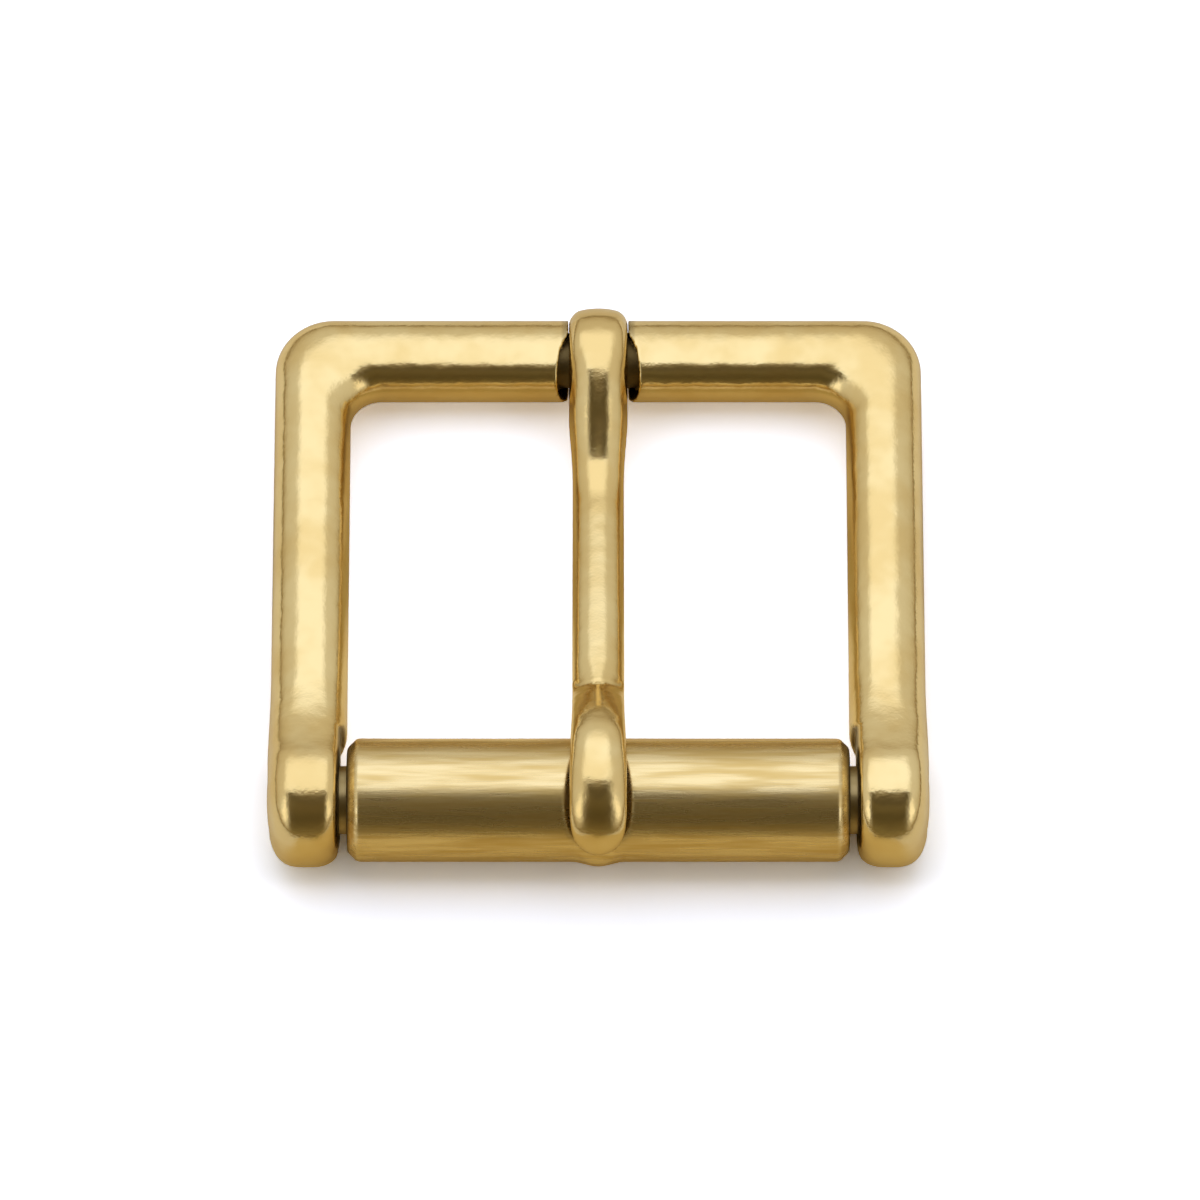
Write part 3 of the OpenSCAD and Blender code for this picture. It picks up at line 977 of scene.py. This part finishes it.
def either(tree, factor, a, b):
    """Shader a where the factor is 0 and b where it is 1."""
    made = node(tree, "ShaderNodeMixShader")
    for socket, source in zip(made.inputs, (factor, a, b)):
        link(tree, source, socket)
    return made.outputs[0]


def graded(tree, value, stops):
    """Colour along a value, from (place, colour) stops."""
    made = tree.nodes.new("ShaderNodeValToRGB")
    link(tree, value, made.inputs["Fac"])
    band = made.color_ramp
    band.elements[0].position, band.elements[1].position = stops[0][0], stops[-1][0]
    for place, _ in stops[1:-1]:
        band.elements.new(place)
    for element, (_, colour) in zip(band.elements, stops):
        element.color = (*colour, 1)
    return made.outputs["Color"]


def all_of(tree, *masks):
    value = masks[0]
    for mask in masks[1:]:
        value = maths(tree, "MULTIPLY", value, mask)
    return value


# The table's tones as the brass sees them, painted shade and warm bounce light from the brass:
# in front, inside the frame by the roller, in the middle and by the bar, behind and beside
TONE_FRONT = (0.86, 0.69, 0.35)
TONE_ROLLER = (0.86, 0.74, 0.48)
TONE_MIDDLE = (0.50, 0.375, 0.16)
TONE_BAR = (0.66, 0.51, 0.25)
TONE_BEHIND = (0.85, 0.79, 0.67)
TONE_BESIDE = (1.0, 0.95, 0.84)

# The table's tones as the camera sees them, in the open and in a painted shadow under the roller
PALE = (1.95, 2.10, 2.55)
PALE_IN_ROLLER_SHADOW = (1.50, 1.63, 1.95)


def table_for_brass(tree, y, flank, window):
    tone = mixed(tree, ramp(tree, y, -0.022, -0.015), TONE_FRONT, TONE_ROLLER)
    tone = mixed(tree, ramp(tree, y, -0.004, 0.003), tone, TONE_MIDDLE)
    tone = mixed(tree, ramp(tree, y, 0.007, 0.013), tone, TONE_BAR)
    tone = mixed(tree, ramp(tree, y, 0.018, 0.03), tone, TONE_BEHIND)
    tone = mixed(tree, ramp(tree, flank, 0.024, 0.034), tone, TONE_BESIDE)
    # Painted bounce light: inside the frame the table glows a little for the brass.
    bounce = emission(tree, tone, maths(tree, "MULTIPLY", window, 0.15))
    return both(tree, bounce, diffuse(tree, tone))


def table_for_camera(tree, place, y, flank, window):
    """Soft shadows round the buckle, a painted shadow under the roller, painted light inside the frame, and
    plain white further off.
    """
    roller_shadow = all_of(
        tree, ramp(tree, y, -0.0249, -0.0225), ramp(tree, y, -0.0125, -0.016), ramp(tree, flank, 0.03, 0.024)
    )
    shade = diffuse(tree, mixed(tree, roller_shadow, PALE, PALE_IN_ROLLER_SHADOW))
    # Painted light inside the frame that lifts the shadow there.
    glow = emission(tree, (1, 0.97, 0.9), maths(tree, "MULTIPLY", window, 0.16))
    reach = node(tree, "ShaderNodeVectorMath", operation="LENGTH")
    link(tree, place, reach.inputs[0])
    far = ramp(tree, reach.outputs["Value"], 0.06, 0.12)
    return either(tree, far, both(tree, glow, shade), emission(tree, (1, 1, 1)))


def table():
    """A white table top. The brass sees it in warmer, dimmer tones than the camera does, with painted shade
    and painted bounce light.
    """
    bm = bmesh.new()
    bmesh.ops.create_circle(bm, cap_ends=True, radius=1.5, segments=96)
    material = plain_material("white_table")
    tree = material.node_tree
    place = node(tree, "ShaderNodeTexCoord").outputs["Object"]
    x, y, _ = split(tree, place)
    flank = maths(tree, "ABSOLUTE", x)
    window = all_of(
        tree, ramp(tree, flank, 0.024, 0.019), ramp(tree, y, 0.022, 0.016), ramp(tree, y, -0.018, -0.012)
    )
    lit = table_for_brass(tree, y, flank, window)
    seen = table_for_camera(tree, place, y, flank, window)
    ray = node(tree, "ShaderNodeLightPath")
    show(material, either(tree, ray.outputs["Is Camera Ray"], lit, seen))
    placed("table", bm, material)


TENT_R = 0.24

# The dark card in front, by the height of the direction: 1 is straight up, 0 the horizon
CARD = [
    (0.00, (0.26, 0.20, 0.09)),
    (0.17, (0.17, 0.13, 0.055)),
    (0.42, (0.11, 0.082, 0.034)),
    (0.574, (0.092, 0.070, 0.028)),
    (0.72, (0.125, 0.096, 0.042)),
    (0.82, (0.135, 0.106, 0.050)),
    (0.88, (0.095, 0.074, 0.037)),
    (0.94, (0.16, 0.13, 0.076)),
    (0.985, (0.34, 0.29, 0.19)),
]

# The tent's cloth, by the same height
CLOTH = [
    (0.00, (0.18, 0.125, 0.045)),
    (0.06, (0.26, 0.20, 0.10)),
    (0.14, (0.52, 0.46, 0.35)),
    (0.35, (0.66, 0.62, 0.53)),
    (0.65, (0.72, 0.69, 0.62)),
    (1.00, (0.76, 0.73, 0.66)),
]


SOFTBOX = (1.19, 1.20, 1.22)
SIDE_CLOTH = (1.25, 1.20, 1.08)


def tent_colour(tree, x, y, z):
    """The tent's light by direction: cloth, the side cloths in front, softbox and dark card."""
    up = maths(tree, "MAXIMUM", z, 0.02)
    across = maths(tree, "ABSOLUTE", maths(tree, "ADD", maths(tree, "DIVIDE", x, up), 0.08))
    along = maths(tree, "DIVIDE", y, up)
    ahead = maths(tree, "MAXIMUM", maths(tree, "MULTIPLY", y, -1), 0.001)
    beside = maths(tree, "ABSOLUTE", x)
    aside = maths(tree, "DIVIDE", beside, ahead)

    box = all_of(
        tree,
        ramp(tree, across, 0.80, 0.40),
        ramp(tree, along, -0.235, -0.165),
        ramp(tree, along, 1.5, 0.75, smooth=False),
    )
    card = all_of(tree, ramp(tree, along, -0.165, -0.235), ramp(tree, beside, 0.62, 0.32))
    flank = all_of(
        tree,
        ramp(tree, along, -0.2, -0.5),
        ramp(tree, beside, 0.46, 0.58),
        ramp(tree, aside, 2.2, 1.1),
        ramp(tree, z, 0.15, 0.4),
        ramp(tree, z, 0.97, 0.85),
    )
    colour = mixed(tree, flank, graded(tree, z, CLOTH), SIDE_CLOTH)
    colour = mixed(tree, box, colour, SOFTBOX)
    return mixed(tree, card, colour, graded(tree, z, CARD))


def tent():
    """A dome of cloth that lights the table: softbox on top, dark card behind the camera."""
    bm = bmesh.new()
    bmesh.ops.create_icosphere(bm, subdivisions=3, radius=TENT_R)
    below = [v for v in bm.verts if v.co.z < -0.02]
    bmesh.ops.delete(bm, geom=below, context="VERTS")
    material = plain_material("tent_cloth")
    material.cycles.emission_sampling = "NONE"
    tree = material.node_tree
    way = node(tree, "ShaderNodeVectorMath", operation="NORMALIZE")
    link(tree, node(tree, "ShaderNodeTexCoord").outputs["Object"], way.inputs[0])
    show(material, emission(tree, tent_colour(tree, *split(tree, way.outputs[0]))))
    dome = placed("tent", bm, material)
    dome.visible_camera = False


def backdrop():
    """Plain white beyond the table."""
    world = bpy.data.worlds.new("backdrop")
    bpy.context.scene.world = world
    world.use_nodes = True
    world.node_tree.nodes["Background"].inputs["Color"].default_value = (1, 1, 1, 1)


def camera():
    """The photograph's view: 64.5 degrees above the table, from the roller's side."""
    distance, elevation, across = 0.9, math.radians(64.5), 0.0964
    target = Vector((0.00014, -0.00141, 0.00525))
    lens = bpy.data.cameras.new("camera")
    lens.sensor_width = 36
    lens.lens = 36 * distance / across
    lens.clip_start = 0.01
    seat = bpy.data.objects.new("camera", lens)
    bpy.context.scene.collection.objects.link(seat)
    way = Vector((0, -math.cos(elevation), math.sin(elevation)))
    seat.location = target + way * distance
    seat.rotation_euler = (-way).to_track_quat("-Z", "Y").to_euler()
    bpy.context.scene.camera = seat


table()
tent()
backdrop()
camera()
bpy.context.scene.view_settings.view_transform = "Standard"
